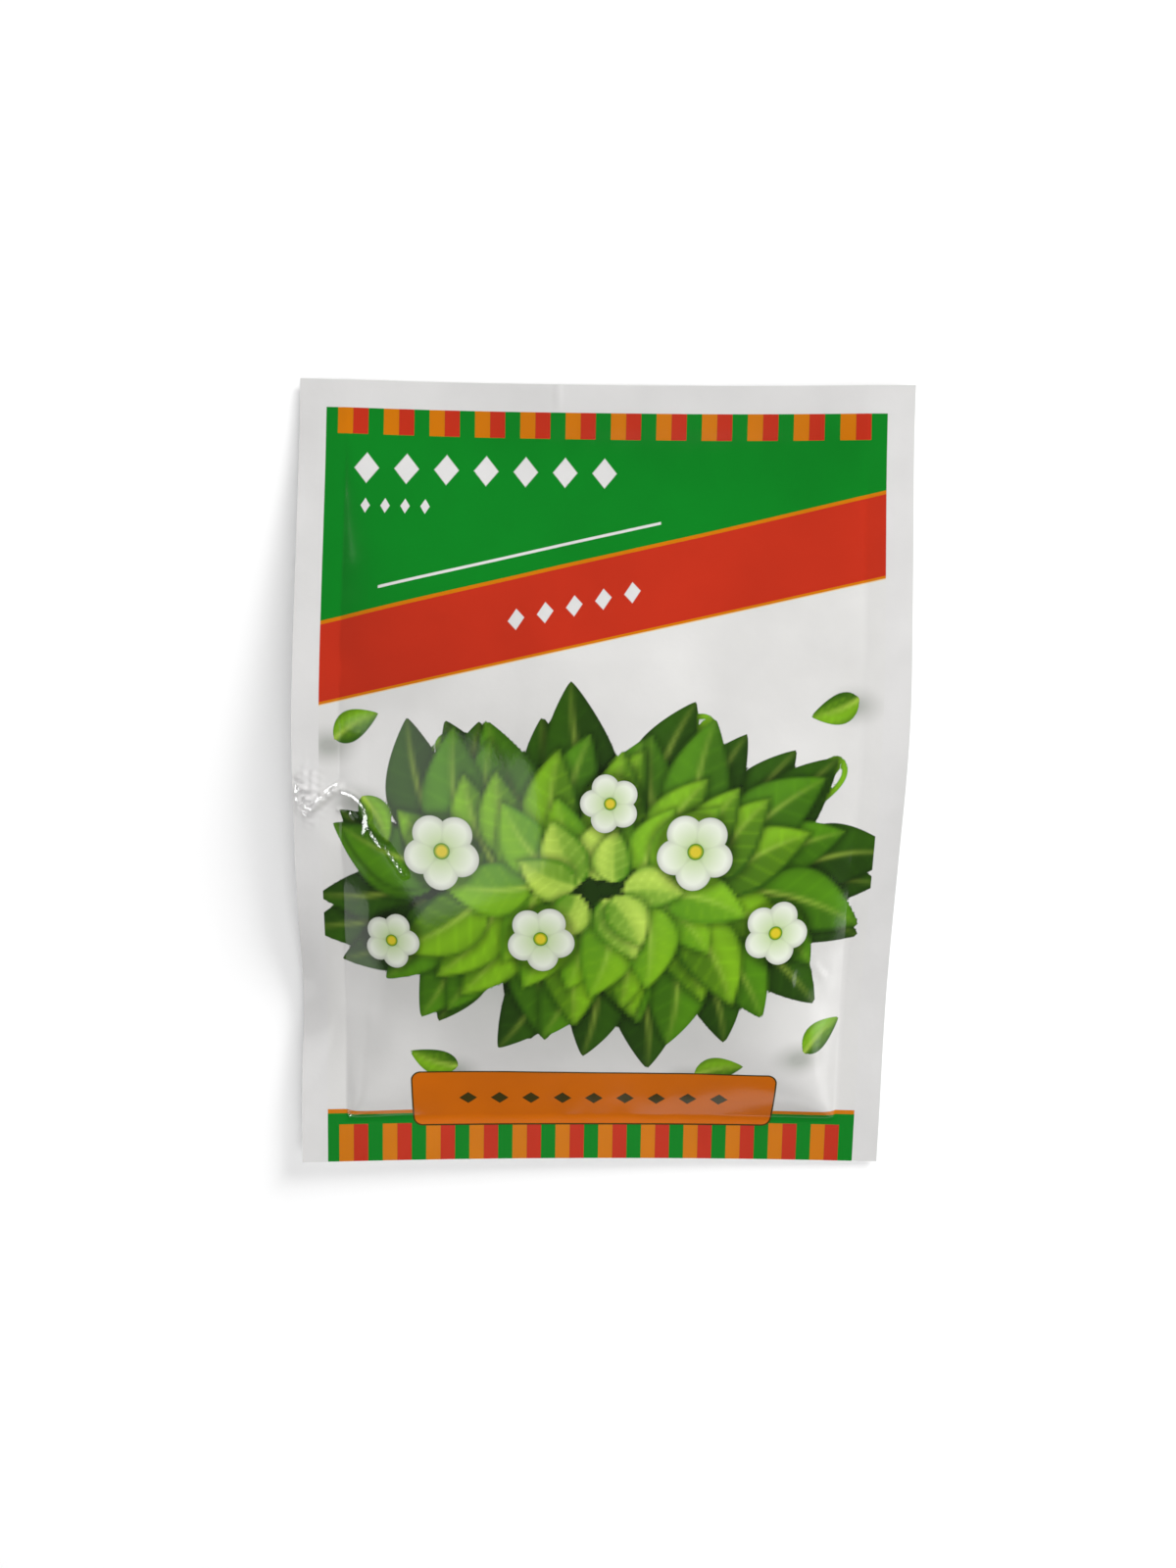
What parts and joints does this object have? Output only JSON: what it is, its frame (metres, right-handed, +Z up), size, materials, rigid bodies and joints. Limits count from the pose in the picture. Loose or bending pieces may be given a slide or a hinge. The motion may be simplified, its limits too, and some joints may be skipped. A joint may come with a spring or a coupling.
{
  "type": "seed packet",
  "caption": "Sealed flat packet of glossy printed film, bonded on four sides, swollen by the dry peas inside and lying on its back.",
  "frame": {"origin": "centre of the bounding box's underside, on the floor that the packet lies on", "axes": "+X across the packet, +Y along it from its foot to its head, +Z up out of the printed face"},
  "size_m": [0.13, 0.1716, 0.021],
  "materials": {
    "printed_film": "glossy laminated film, printed",
    "plain_film": "glossy laminated film, plain white",
    "dry_pea": "dull dry skin"
  },
  "bodies": {
    "root": {"front_panel": "printed_film", "back_panel": "plain_film", "pea_seeds": "dry_pea"}
  },
  "joints": []
}
